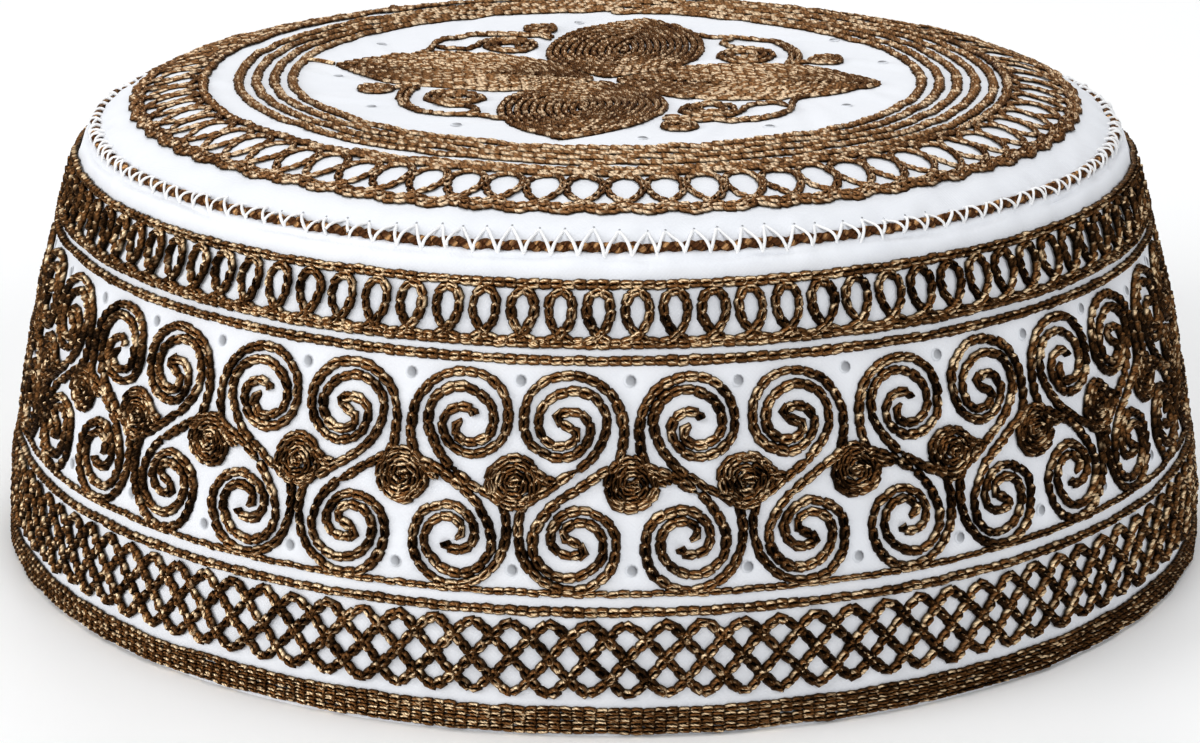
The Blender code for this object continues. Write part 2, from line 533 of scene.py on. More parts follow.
def make_weave_group():
    """Plain weave: threads over and under in two directions."""
    group, entry, place = new_group(
        "plain_weave", "Cloth place", ("Threads in a millimetre",), ("Height",),
    )
    swing = maths(group, "MULTIPLY", entry["Threads in a millimetre"], math.pi)
    warp = maths(group, "SINE", maths(group, "MULTIPLY", place["X"], swing))
    weft = maths(group, "SINE", maths(group, "MULTIPLY", place["Y"], swing))
    leave = node_of(group, "NodeGroupOutput")
    group.links.new(maths(group, "MULTIPLY", warp, weft), leave.inputs["Height"])
    return group


def add_group(tree, group, **values):
    return fill(tree, node_of(tree, "ShaderNodeGroup", node_tree=group), **values)


def new_material(name):
    material = bpy.data.materials.new(name)
    material.use_nodes = True
    return material, material.node_tree, material.node_tree.nodes["Principled BSDF"]


def bump(tree, height, strength, distance_mm):
    node = node_of(tree, "ShaderNodeBump")
    return fill(tree, node, Strength=strength, Distance=distance_mm * MM, Height=height)["Normal"]


def make_thread_material(name, spun, dark, mid, gold, turns=0.85, bright=1.0, colour_turns=0.28):
    """Silky marled thread: brown and gold plies twisted, with painted shade in its hollows, down each
    strand's sides and between its plies.
    """
    material, tree, shader = new_material(name)
    where = object_place(tree)
    tone = vertex_value(tree, "ToneAndPaintedLight")
    ply = add_group(
        tree, spun, Along_and_around=uv_map(tree, "Thread"), Turns_in_a_millimetre=turns, Plies=2.0,
        Colour_turns_in_a_millimetre=colour_turns,
    )
    cloud = noise(tree, where, 260.0, 2.0)
    base = blend_colours(tree, tone, dark, mid)
    # Gold streaks show where the plies and the tone are high, so they follow the painted sheen too
    lean = maths(tree, "MULTIPLY", ply["Ply"], maths(tree, "ADD", tone, cloud))
    streak = ramp(tree, lean, From_Min=0.62, From_Max=1.18, To_Max=bright)
    marled = blend_colours(tree, streak, base, gold)
    # Painted shade: darker away from each strand's crest and in the grooves between its plies
    painted_crevice_shade = ramp(tree, vertex_value(tree, "Crest"), From_Min=0.08, From_Max=0.72, To_Min=0.10)
    painted_groove_shade = ramp(tree, ply["Ridge"], "LINEAR", From_Max=0.5, To_Min=0.50)
    shade = maths(tree, "MULTIPLY", painted_crevice_shade, painted_groove_shade)
    fine = noise(tree, where, 5200.0, 1.0)
    fibre = node_of(tree, "ShaderNodeTangent", direction_type="UV_MAP", uv_map="Thread")
    relief_height = maths(tree, "ADD", ply["Ridge"], maths(tree, "MULTIPLY", fine, 0.35))
    fill(
        tree, shader, Base_Color=blend_colours(tree, 1.0, marled, shade, "MULTIPLY"),
        Roughness=maths(tree, "MULTIPLY_ADD", fine, 0.16, 0.30), Metallic=0.45,
        Specular_IOR_Level=0.30, Specular_Tint=(1.0, 0.66, 0.32, 1.0),
        Anisotropic=0.7, Anisotropic_Rotation=0.25, Tangent=fibre.outputs[0],
        Normal=bump(tree, relief_height, 0.75, 0.16),
    )
    return material


def make_cotton_material(weave):
    """White cotton: fine plain weave with slubs, and soft cloudy shade."""
    material, tree, shader = new_material("white_cotton_cloth")
    where = object_place(tree)
    threads = add_group(tree, weave, Cloth_place=uv_map(tree, "Cloth"), Threads_in_a_millimetre=3.2)
    slubs = noise(tree, where, 900.0, 3.0)
    cloud = noise(tree, where, 70.0, 3.0)
    base = blend_colours(tree, cloud, (0.750, 0.768, 0.805, 1.0), (0.825, 0.836, 0.862, 1.0))
    specks = blend_colours(tree, maths(tree, "MULTIPLY", slubs, 0.35), base, (0.70, 0.72, 0.78, 1.0))
    woven = maths(tree, "ADD", maths(tree, "MULTIPLY", threads["Height"], 0.5), slubs)
    fill(
        tree, shader, Base_Color=specks, Roughness=0.82, Sheen_Weight=0.15, Sheen_Roughness=0.5,
        Normal=bump(tree, woven, 0.22, 0.10),
    )
    return material


def make_sewing_thread_material(spun):
    material, tree, shader = new_material("white_sewing_thread")
    thread_uv = uv_map(tree, "Thread")
    ply = add_group(tree, spun, Along_and_around=thread_uv, Turns_in_a_millimetre=1.6, Plies=3.0)
    # Painted shade: darker in the grooves between the plies, lighter on their ridges
    colour = blend_colours(tree, ply["Ridge"], (0.88, 0.89, 0.91, 1.0), (0.95, 0.95, 0.95, 1.0))
    fill(tree, shader, Base_Color=colour, Roughness=0.6, Normal=bump(tree, ply["Ridge"], 0.5, 0.05))
    return material


def make_hole_material():
    """Shaded inside of the vent holes, and the white cotton of their rims."""
    material, tree, shader = new_material("vent_hole_shade")
    cloud = noise(tree, object_place(tree), 1500.0, 2.0)
    grey = blend_colours(tree, cloud, (0.04, 0.04, 0.045, 1.0), (0.16, 0.16, 0.17, 1.0))
    colour = blend_colours(tree, vertex_value(tree, "ToneAndPaintedLight"), grey, (0.72, 0.74, 0.78, 1.0))
    fill(tree, shader, Base_Color=colour, Roughness=0.9)
    return material


spun_thread = make_spun_thread_group()
plain_weave = make_weave_group()
embroidery = make_thread_material(
    "marled_embroidery_thread", spun_thread,
    (0.006, 0.0014, 0.0005, 1.0), (0.31, 0.150, 0.058, 1.0), (1.0, 0.77, 0.50, 1.0),
)
# Painted light: the same thread in lighter colours for the crown, which catches more light
crown_embroidery_painted_light = make_thread_material(
    "marled_thread_painted_crown_light", spun_thread,
    (0.032, 0.0060, 0.0014, 1.0), (0.35, 0.185, 0.085, 1.0), (0.88, 0.67, 0.46, 1.0),
)
cord_thread = make_thread_material(
    "brown_seam_cord", spun_thread,
    (0.012, 0.004, 0.002, 1.0), (0.17, 0.070, 0.029, 1.0), (0.62, 0.36, 0.17, 1.0), 1.1, 0.9, 0.6,
)
cotton = make_cotton_material(plain_weave)
sewing_thread = make_sewing_thread_material(spun_thread)
hole_shade = make_hole_material()

# Cloth panels
PANEL_STEP = 1.25
FINE_STEP = 0.25
FINE_REACH = 4.0
SEAM_LIP = 1.0
GROOVE_DEPTH = 0.95
PANEL_TURN_STEPS = 400
SHARP_DEG = 55.0
MEAN_WALL_RADIUS = 86.0


def panel_profile(first, last, seam_end):
    """Places down one panel's outer face: distance along, depth under the face."""
    step = math.copysign(1.0, last - first)
    fine_from = last - step * FINE_REACH
    count = int(round(abs(fine_from - first) / PANEL_STEP))
    coarse = np.linspace(first, fine_from, count + 1)
    fine = np.linspace(fine_from, last, int(round(FINE_REACH / FINE_STEP)) + 1)
    rows = [(a, 0.0) for a in np.concatenate([coarse, fine[1:]])]
    lip = [(last + step * 0.45, -0.15), (last + step * 0.72, -0.5), (last + step * 0.8, -GROOVE_DEPTH)]
    return rows + lip if seam_end else rows


def spun_panel(name, rows, closed):
    """A panel turned about the axis from its profile, with its cloth coordinates kept."""
    bm = bmesh.new()
    layer_along = bm.verts.layers.float.new("along")
    layer_station = bm.verts.layers.float.new("station")
    verts = []
    station = 0.0
    last_place = None
    for along, depth in rows:
        normal = normal_at(np.array(0.0), np.array(along))
        place = np.array([0.0, -float(radius_at(along)), float(height_at(along))]) + normal * depth
        if along <= 0.0:
            place[2] = 0.0
        if last_place is not None:
            station += float(np.linalg.norm(place - last_place))
        last_place = place
        vert = bm.verts.new(place * MM)
        vert[layer_along] = along
        vert[layer_station] = station
        verts.append(vert)
    for first, second in zip(verts[:-1], verts[1:]):
        bm.edges.new((first, second))
    if closed:
        bm.edges.new((verts[-1], verts[0]))
    bmesh.ops.spin(
        bm, geom=bm.verts[:] + bm.edges[:], cent=(0, 0, 0), axis=(0, 0, 1),
        angle=math.tau, steps=PANEL_TURN_STEPS, use_merge=True,
    )
    bmesh.ops.remove_doubles(bm, verts=bm.verts, dist=0.000002)
    bmesh.ops.recalc_face_normals(bm, faces=bm.faces)
    bm.verts.ensure_lookup_table()
    for vert in bm.verts:
        theta = math.atan2(vert.co.x, -vert.co.y)
        along = vert[layer_along]
        if along > 0.4 and vert.co.xy.length > 0.001:
            shift = relief(np.array(theta), np.array(along)) * MM
            vert.co += Vector(normal_at(np.array(theta), np.array(along))) * float(shift)
    mesh = bpy.data.meshes.new(name)
    spans = [(v[layer_along], v[layer_station]) for v in bm.verts]
    bm.to_mesh(mesh)
    bm.free()
    mesh.shade_smooth()
    mesh.set_sharp_from_angle(angle=math.radians(SHARP_DEG))
    add_panel_maps(mesh, np.array(spans), station)
    return mesh


def add_panel_maps(mesh, spans, full_station):
    """Cloth map in millimetres, and a flat map for baking, one strip round the cap."""
    coords = np.empty(len(mesh.vertices) * 3)
    mesh.vertices.foreach_get("co", coords)
    coords = coords.reshape(-1, 3)
    corner = np.empty(len(mesh.loops), int)
    mesh.loops.foreach_get("vertex_index", corner)
    start = np.empty(len(mesh.polygons), int)
    mesh.polygons.foreach_get("loop_start", start)
    owner = np.searchsorted(start, np.arange(len(corner)), side="right") - 1
    theta = np.arctan2(coords[corner, 0], -coords[corner, 1]) + math.pi
    at_axis = np.hypot(coords[corner, 0], coords[corner, 1]) < 0.0005
    high = np.full(len(start), -9.0)
    low = np.full(len(start), 9.0)
    np.maximum.at(high, owner, np.where(at_axis, -9.0, theta))
    np.minimum.at(low, owner, np.where(at_axis, 9.0, theta))
    wraps = (high - low > math.pi)[owner]
    theta = np.where(wraps & (theta < math.pi), theta + math.tau, theta)
    middle = np.where(wraps, high[owner] + math.pi / PANEL_TURN_STEPS, (high[owner] + low[owner]) / 2.0)
    theta = np.where(at_axis, middle, theta)
    along = spans[corner, 0]
    station = spans[corner, 1]
    flat_u = theta / (math.tau * 1.01)
    add_uv(mesh, "OFBake", np.stack([flat_u, 0.01 + 0.97 * station / full_station], -1))
    on_wall = along < SEAM_AT
    u = np.where(on_wall, theta * MEAN_WALL_RADIUS, coords[corner, 0] / MM)
    v = np.where(on_wall, along, coords[corner, 1] / MM)
    add_uv(mesh, "Cloth", np.stack([u, v], -1))


def make_cloth_wall():
    edge = SEAM_AT - SEAM_LIP
    outside = panel_profile(0.0, edge, True)
    inside = [(a, -WALL_THICKNESS) for a in np.linspace(edge + 0.8, 0.0, 18)]
    mesh = spun_panel("cloth_wall", outside + inside, True)
    return add_piece("cloth_wall", mesh, cotton, ("side_band",))


def make_cloth_crown():
    edge = SEAM_AT + SEAM_LIP
    outside = panel_profile(CLOTH_END, edge, True)
    inside = [(a, -CROWN_THICKNESS) for a in np.linspace(edge - 0.8, CLOTH_END, 20)]
    mesh = spun_panel("cloth_crown", outside + inside, False)
    return add_piece("cloth_crown", mesh, cotton, ("crown_panel",))


make_cloth_wall()
make_cloth_crown()

# Rows on the wall: hem, lattice, guide lines
HEM_ROWS = (0.84, 1.74, 2.66, 3.58)
HEM_WANDER = 0.07
LATTICE_MIDDLE = 10.6
LATTICE_REACH = 4.75
LATTICE_PERIODS = 28
LATTICE_LINES = 4
LATTICE_PEAK_DEG = 1.98
LATTICE_LIFTS = (0.0, 0.16, 0.05, 0.24)
LATTICE_WANDER = 0.12
ZIGZAG_SHARP = 0.965
GUIDE_LINES = (16.95, 50.0)
THIN_GUIDE_LINE = 19.4


def rounded_zigzag(angle):
    return np.arcsin(ZIGZAG_SHARP * np.cos(angle)) / math.asin(ZIGZAG_SHARP)


def hem_lines():
    theta = np.linspace(0.0, math.tau, ROW_POINTS)
    lines = []
    for index, middle in enumerate(HEM_ROWS):
        along = middle + HEM_WANDER * waves(theta, (23, 41, 67), 30 + index)
        lines.append((line(theta, along), True))
    return lines


def lattice_lines():
    theta = np.linspace(0.0, math.tau, 5041)
    lines = []
    for index in range(LATTICE_LINES):
        peak = math.radians(LATTICE_PEAK_DEG + index * 360.0 / LATTICE_PERIODS / LATTICE_LINES)
        swing = rounded_zigzag(LATTICE_PERIODS * (theta - peak))
        along = LATTICE_MIDDLE + LATTICE_REACH * swing
        along = along + LATTICE_WANDER * waves(theta, (37, 59, 88), 20 + index)
        lines.append((line(theta, along, LATTICE_LIFTS[index]), True))
    return lines


chain_stitch("hem_rows", hem_lines(), HEM_STITCH, embroidery, ("hem_braid",), tone_lift=-0.12)
chain_stitch("lattice_border", lattice_lines(), LATTICE_STITCH, embroidery)
chain_stitch("guide_lines", [(row_round(a), True) for a in GUIDE_LINES], LINE_STITCH, embroidery)
chain_stitch("thin_guide_line", [(row_round(THIN_GUIDE_LINE), True)], THIN_STITCH, embroidery)

# Scroll field: two mirrored S-scrolls and two discs in each of its units
SCROLL_UNITS = 18
SCROLL_AXIS_DEG = -7.7
SCROLL_MIDDLE = 33.85
SCROLL_OFF_AXIS = 7.35
SPIRAL_EYE = (0.4, 7.3)
SCROLL_HEADING = (0.80, 0.60)
PINCH_LENGTH = 4.2
PINCH_WIDTH = 2.6
FALLING_PINCH = 0.45
ArmPoint = namedtuple("ArmPoint", "turn_deg radius")
OUTER_ARM = [ArmPoint(*row) for row in (
    (-42, 7.2), (-20, 6.5), (3, 6.1), (30, 6.05), (60, 6.3), (90, 6.7), (118, 7.15), (145, 7.15),
    (172, 6.7), (198, 6.1), (222, 5.1), (248, 4.2), (278, 3.2), (318, 2.3), (365, 1.95), (415, 1.9),
    (460, 2.15), (495, 2.6),
)]
INNER_ARM = [ArmPoint(*row) for row in (
    (-88, 5.7), (-62, 4.5), (-30, 4.0), (0, 4.1), (30, 4.4), (60, 4.7), (90, 4.95), (120, 5.05),
    (150, 5.1), (178, 4.8), (204, 4.1), (232, 3.0), (262, 1.9), (290, 0.9),
)]
ACROSS_THE_MIDDLE = [(-0.75, -1.75), (2.0, 0.1), (4.2, 1.6)]
INNER_HOOK = [(0.45, 7.25), (-0.35, 7.75)]
OUTER_HOOK = [(-1.80, 8.40)]
INNER_JOIN = [(0.55, 6.9), (-0.65, 7.55), (-1.75, 8.2), (-1.95, 9.0), (-1.3, 9.7)]


def arm_points(arm):
    turn = np.radians([p.turn_deg for p in arm])
    radius = np.array([p.radius for p in arm])
    eye_x, eye_rise = SPIRAL_EYE
    return np.stack([eye_x + radius * np.cos(turn), eye_rise + radius * np.sin(turn)], -1)


def scroll_line(pinch, inner_end, outer_end):
    """One of an S-scroll's two lines: inner arm below, across the middle, outer arm above."""
    above = np.concatenate([arm_points(OUTER_ARM), np.reshape(outer_end, (-1, 2))])
    below = -np.concatenate([arm_points(INNER_ARM), inner_end])[::-1]
    points = smooth_through(np.concatenate([below, ACROSS_THE_MIDDLE, above]), 0.2)
    heading = np.array(SCROLL_HEADING)
    sideways = np.array([-heading[1], heading[0]])
    ahead, aside = points @ heading, points @ sideways
    near = np.exp(-((ahead / PINCH_LENGTH) ** 4)) * (np.abs(aside) < PINCH_WIDTH)
    return points - np.outer(aside * near * pinch, sideways)


def scroll_field(mirror, pinch, inner_end, outer_end):
    """All the S-scrolls that rise to the right, or with mirror -1 that fall to the right."""
    lines = []
    half = scroll_line(pinch, inner_end, outer_end)
    for number in range(SCROLL_UNITS):
        axis = SCROLL_AXIS_DEG + number * 360.0 / SCROLL_UNITS
        for turned in (1.0, -1.0):
            x = mirror * (SCROLL_OFF_AXIS + turned * half[:, 0] * rng.normal(1.0, 0.015))
            rise = turned * half[:, 1] * rng.normal(1.0, 0.01)
            lines.append((wall_line(x, rise, axis, SCROLL_MIDDLE, 0.02 * turned), False))
    return lines


rising = scroll_field(1.0, 0.0, INNER_JOIN, ())
chain_stitch("scrolls_rising", rising, SCROLL_STITCH, embroidery)
falling = scroll_field(-1.0, FALLING_PINCH, INNER_HOOK, OUTER_HOOK)
chain_stitch("scrolls_falling", falling, SCROLL_STITCH, embroidery)

DISC_RADIUS = 3.2
DISC_ROW = 1.02
DISC_AXES_DEG = (0.0, 10.1)
DISC_LIFT = 0.1
HALF_BAR = 0.9
DiscTail = namedtuple("DiscTail", "points lift")
DISC_TAILS = [
    DiscTail([(2.0, 2.0), (3.5, 1.0), (5.2, 0.3)], 0.16),
    DiscTail([(2.7, 0.7), (3.6, 0.4), (4.5, 0.2)], 0.08),
]


def disc_spiral(radius, row, start):
    """A round row, then turns inside it that wind, a little unevenly, to the middle."""
    turns = radius / row
    angle = np.linspace(-math.tau, math.tau * turns, int(60 * (turns + 1)))
    reach = radius - row * np.clip(angle, 0.0, None) / math.tau
    reach *= 1.0 + 0.035 * np.sin(3.0 * angle + 2.0 * start) + 0.03 * np.sin(1.4 * angle + start)
    return reach * np.cos(angle + start), reach * np.sin(angle + start)


def scroll_discs():
    """Filled discs beside each unit's axis, with a bar in the middle and tails to the scrolls."""
    lines = []
    for number in range(SCROLL_UNITS):
        for beside in DISC_AXES_DEG:
            radius = DISC_RADIUS * rng.normal(1.0, 0.03)
            x, rise = disc_spiral(radius, DISC_ROW, math.tau * rng.random())
            axis = SCROLL_AXIS_DEG + number * 360.0 / SCROLL_UNITS + beside
            lines.append((wall_line(x, rise, axis, SCROLL_MIDDLE, DISC_LIFT), False))
            bar = np.linspace(-HALF_BAR, HALF_BAR, 7)
            lines.append((wall_line(bar, 0.1, axis, SCROLL_MIDDLE, DISC_LIFT + 0.04), False))
            for tail in DISC_TAILS:
                x, rise = smooth_through(tail.points, 0.2).T
                lines.append((wall_line(x, rise, axis, SCROLL_MIDDLE, tail.lift), False))
    return lines


chain_stitch("scroll_discs", scroll_discs(), FILL_STITCH, embroidery)

# Loop border at the head of the wall
WALL_LOOPS = 102
WALL_LOOP_MIDDLE = 55.7
WALL_LOOP_REACH = 3.35
WALL_LOOP_SWAY = 2.75
WALL_LOOP_START_DEG = -2.26
WALL_RAILS = (52.15, 59.9)


def wall_loop_lines():
    turn = np.linspace(0.0, math.tau * WALL_LOOPS, 60 * WALL_LOOPS + 1)
    theta = math.radians(WALL_LOOP_START_DEG) + turn / WALL_LOOPS
    along = WALL_LOOP_MIDDLE - WALL_LOOP_REACH * np.cos(turn)
    theta = theta + WALL_LOOP_SWAY * np.sin(turn) / radius_at(along)
    lift = 0.12 + 0.12 * np.sin(turn)
    return [(line(theta, along, lift), True)]


chain_stitch("wall_loops", wall_loop_lines(), LINE_STITCH, embroidery)
chain_stitch("wall_rails", [(row_round(a, 0.1), True) for a in WALL_RAILS], LINE_STITCH, embroidery)

# Crown border and spiral rows
CROWN_LOOPS = 76
CROWN_LOOP_RADIUS = 66.4
CROWN_LOOP_REACH = 4.2
CROWN_LOOP_SWAY = 3.75
CROWN_OUTER_RAIL = 71.4
CROWN_INNER_RAIL = 61.2
SPIRAL_START_RADIUS = 46.6
SPIRAL_GROWTH = 2.7
SPIRAL_TURNS = 4.6
SPIRAL_OFFSET = 0.9
SPIRAL_TUCK = 1.5
TUCK_IN_TURNS = 0.04
TUCK_OUT_TURNS = 0.22
# Painted light: crown rows are lifted in tone because the crown catches more light, the spiral rows
# most
CROWN_PAINTED_LIGHT = 0.29
SPIRAL_PAINTED_LIGHT = 0.45


def crown_ring(radius, bulge):
    """A rail that bulges a little at each loop."""
    theta = np.linspace(0.0, math.tau, 24 * CROWN_LOOPS + 1)
    return (line(theta, along_at_crown(radius + bulge * np.cos(CROWN_LOOPS * theta)), 0.08), True)


def crown_loop_lines():
    turn = np.linspace(0.0, math.tau * CROWN_LOOPS, 60 * CROWN_LOOPS + 1)
    radius = CROWN_LOOP_RADIUS + CROWN_LOOP_REACH * np.cos(turn)
    theta = turn / CROWN_LOOPS + CROWN_LOOP_SWAY * np.sin(turn) / radius
    return [(line(theta, along_at_crown(radius), 0.08 + 0.08 * np.sin(turn)), True)]


def spiral_rows():
    """One row that winds outwards, tucked beside its neighbour where it starts and ends."""
    run = np.linspace(0.0, math.tau * SPIRAL_TURNS, 2400)
    theta = math.pi - run
    turns = run / math.tau
    tuck_out = np.clip((turns - SPIRAL_TURNS + TUCK_OUT_TURNS) / TUCK_OUT_TURNS, 0.0, 1.0) ** 2
    tuck = SPIRAL_TUCK * (np.exp(-turns / TUCK_IN_TURNS) + tuck_out)
    radius = SPIRAL_START_RADIUS + SPIRAL_GROWTH * turns + tuck
    return [(crown_line(radius * np.sin(theta) + SPIRAL_OFFSET, -radius * np.cos(theta)), False)]


chain_stitch("crown_loops", crown_loop_lines(), CROWN_LOOP_STITCH, crown_embroidery_painted_light, tone_lift=CROWN_PAINTED_LIGHT)
crown_rails = [crown_ring(CROWN_OUTER_RAIL, 0.35), crown_ring(CROWN_INNER_RAIL, -0.12)]
chain_stitch("crown_rails", crown_rails, CROWN_STITCH, crown_embroidery_painted_light, tone_lift=CROWN_PAINTED_LIGHT)
chain_stitch("crown_spiral", spiral_rows(), CROWN_STITCH, crown_embroidery_painted_light, tone_lift=SPIRAL_PAINTED_LIGHT)

# Medallion: four leaf petals filled with nested rows, four tendrils with a small disc each
PETAL_FIRST_DEG = 170.9
PETAL_ROW = 1.17
PetalWidth = namedtuple("PetalWidth", "out half_width")
PETAL = [PetalWidth(*row) for row in (
    (1.2, 0.0), (5.0, 4.7), (10.0, 9.6), (15.0, 12.0), (21.0, 12.5), (27.0, 11.7), (33.0, 9.4),
    (38.0, 5.6), (42.8, 0.0),
)]
TENDRIL_ARC = [
    (-28.8, -8.4), (-29.7, -12.4), (-30.0, -17.0), (-29.0, -21.2), (-27.0, -24.6), (-24.4, -26.7),
    (-20.8, -27.4), (-17.4, -27.8), (-14.2, -29.6),
]
ARC_HALF_GAP = 0.72
ARC_MERGES_AT = 0.62
TENDRIL_ARM = [(-20.6, -26.9), (-18.8, -25.2), (-19.2, -22.6), (-21.0, -20.5)]
LOOP_CENTRE = (-22.0, -15.4)
LOOP_RADII = (4.9, 1.5)
LOOP_ROUNDS = 2.6
LOOP_START_DEG = -78.0
TENDRIL_DISC = (-34.3, -10.6)
TENDRIL_DISC_RADIUS = 2.4
TENDRIL_DISC_ROW = 0.9
TENDRIL_DISC_LINK = [(-32.4, -10.0), (-31.0, -9.2), (-29.0, -9.0)]
JUMP_THREAD = [(-42.0, 6.9), (-44.6, 8.6), (-47.0, 9.4)]


def turned(points, degrees):
    angle = math.radians(degrees)
    cos, sin = math.cos(angle), math.sin(angle)
    return points @ np.array([(cos, sin), (-sin, cos)])


def to_the_left(hops):
    hops = unit(hops)
    return np.stack([-hops[:, 1], hops[:, 0]], -1)


def nested_rows(outline, row):
    """Closed rows inside an outline, each one row's width in from the last."""
    rows = []
    inset = row * 0.55
    inward = to_the_left(np.roll(outline, -1, axis=0) - np.roll(outline, 1, axis=0))
    while True:
        moved = outline + inward * inset
        gap = np.linalg.norm(moved[:, None] - outline[None], axis=2).min(1)
        kept = moved[gap > inset - 0.05]
        if len(kept) < 12:
            break
        ring = np.concatenate([kept, kept[:1]])
        rows.append(evenly(ring, 0.3))
        inset += row
    return rows


def petal_outline():
    side = smooth_through([(p.out, -p.half_width) for p in PETAL], 0.3)
    other = side[::-1] * (1.0, -1.0)
    return np.concatenate([side, other[1:-1]])


def petal_lines():
    lines = []
    rows = nested_rows(petal_outline(), PETAL_ROW)
    for petal in range(4):
        for row in rows:
            plan = turned(row, PETAL_FIRST_DEG + 90.0 * petal)
            lines.append((crown_line(*plan.T, 0.02 * (petal % 2)), True))
    return lines


def split_arc():
    """A tendril's arc as two rows that run side by side and merge towards the tail."""
    arc = smooth_through(TENDRIL_ARC, 0.3)
    across = to_the_left(np.gradient(arc, axis=0))
    share = np.linspace(0.0, 1.0, len(arc))
    apart = ARC_HALF_GAP * np.clip(1.0 - share / ARC_MERGES_AT, 0.0, 1.0)[:, None] ** 0.6
    outer = arc + across * apart
    inner = (arc - across * apart)[share < ARC_MERGES_AT]
    return outer, inner


def coiled_loop():
    """The arm that leaves the arc and coils into a nearly filled ring."""
    turn = np.linspace(0.0, math.tau * LOOP_ROUNDS, 120)
    angle = math.radians(LOOP_START_DEG) - turn
    radius = LOOP_RADII[0] + (LOOP_RADII[1] - LOOP_RADII[0]) * turn / turn[-1]
    coil = LOOP_CENTRE + radius[:, None] * np.stack([np.cos(angle), np.sin(angle)], -1)
    return smooth_through(np.concatenate([TENDRIL_ARM, coil[3::4]]), 0.3)


def tendril_lines():
    x, y = disc_spiral(TENDRIL_DISC_RADIUS, TENDRIL_DISC_ROW, 0.0)
    disc = TENDRIL_DISC + np.stack([x, y], -1)
    bar = np.linspace(-HALF_BAR, HALF_BAR, 7)
    middle = TENDRIL_DISC + np.stack([bar, 0.0 * bar], -1)
    parts = (*split_arc(), coiled_loop(), disc, middle, smooth_through(TENDRIL_DISC_LINK, 0.3))
    lines = []
    for quarter in range(4):
        for part in parts:
            plan = turned(part, 90.0 * quarter)
            lines.append((crown_line(*plan.T, 0.05), False))
    return lines


chain_stitch("medallion_petals", petal_lines(), PETAL_STITCH, crown_embroidery_painted_light, tone_lift=CROWN_PAINTED_LIGHT)
chain_stitch("medallion_tendrils", tendril_lines(), PETAL_STITCH, crown_embroidery_painted_light, tone_lift=CROWN_PAINTED_LIGHT)

# Seam: twisted cord in the groove, white whip stitches over it
CORD_PLY_RADIUS = 0.52
CORD_PLY_OFFSET = 0.31
CORD_TURN_LENGTH = 3.6
CORD_LIFT = 0.05
WHIP_COUNT = 140
WHIP_RADIUS = 0.25
WHIP_LONG = 2.9
WHIP_SHORT = 1.05
WHIP_BELOW = 1.05
WHIP_SPREAD = 0.2
WHIP_LENGTH_SPREAD = 0.22
WHIP_SIDE_SPREAD = 0.12
WHIP_FRONT = 0.80
WHIP_ARCH = (-0.12, 0.60, 0.82, 0.66, 0.22, -0.12)
NEEDLE_HOLE_RADIUS = 0.15
NEEDLE_HOLE_ABOVE = 0.25
JUMP_RADIUS = 0.34


def across_thread(centres):
    """Two directions across threads, given as lines by points: to the side and off the cap."""
    tangent = unit(np.gradient(centres, axis=1))
    side = unit(np.cross(unit(centres), tangent))
    return side, np.cross(tangent, side)


def lay_tubes(name, centres, radius, sides, closed, material, tone, replaced=()):
    """Threads swept along lines of points, given in millimetres as lines by points by xyz."""
    side, above = across_thread(centres)
    lines, count = centres.shape[:2]
    turn = np.arange(sides) * math.tau / sides
    ring = side[..., None, :] * np.cos(turn)[:, None] + above[..., None, :] * np.sin(turn)[:, None]
    places = (centres[..., None, :] + ring * radius).reshape(lines, count * sides, 3)
    steps = count if closed else count - 1
    i, j = np.divmod(np.arange(steps * sides), sides)
    here, ahead, beside = i * sides, (i + 1) % count * sides, (j + 1) % sides
    mesh = joined_mesh(name, places, np.stack([here + j, ahead + j, ahead + beside, here + beside], -1))
    uv = np.array([(i, j), (i + 1, j), (i + 1, j + 1), (i, j + 1)], float).transpose(2, 0, 1)
    hop = float(np.linalg.norm(centres[0, 1] - centres[0, 0]))
    along = np.broadcast_to(uv[None, ..., 0] * hop, (lines, len(uv), 4))
    add_thread_maps(mesh, lines, uv, steps, sides, along)
    add_value(mesh, "ToneAndPaintedLight", np.full(len(mesh.vertices), tone))
    # Crest is highest on each ring's top, which the thread material uses to paint shade on the
    # underside
    add_value(mesh, "Crest", np.tile(0.5 + 0.5 * np.sin(turn), lines * count))
    return add_piece(name, mesh, material, replaced)


def seam_cord_plies():
    steps = 900
    theta = np.arange(steps) * math.tau / steps
    turns = round(math.tau * SEAM_RADIUS / CORD_TURN_LENGTH)
    plies = []
    for phase in (0.0, math.pi):
        angle = theta * turns + phase
        along = SEAM_AT + CORD_PLY_OFFSET * np.cos(angle)
        plies.append(on_cap(theta, along, CORD_LIFT + CORD_PLY_OFFSET * np.sin(angle)))
    return np.stack(plies)


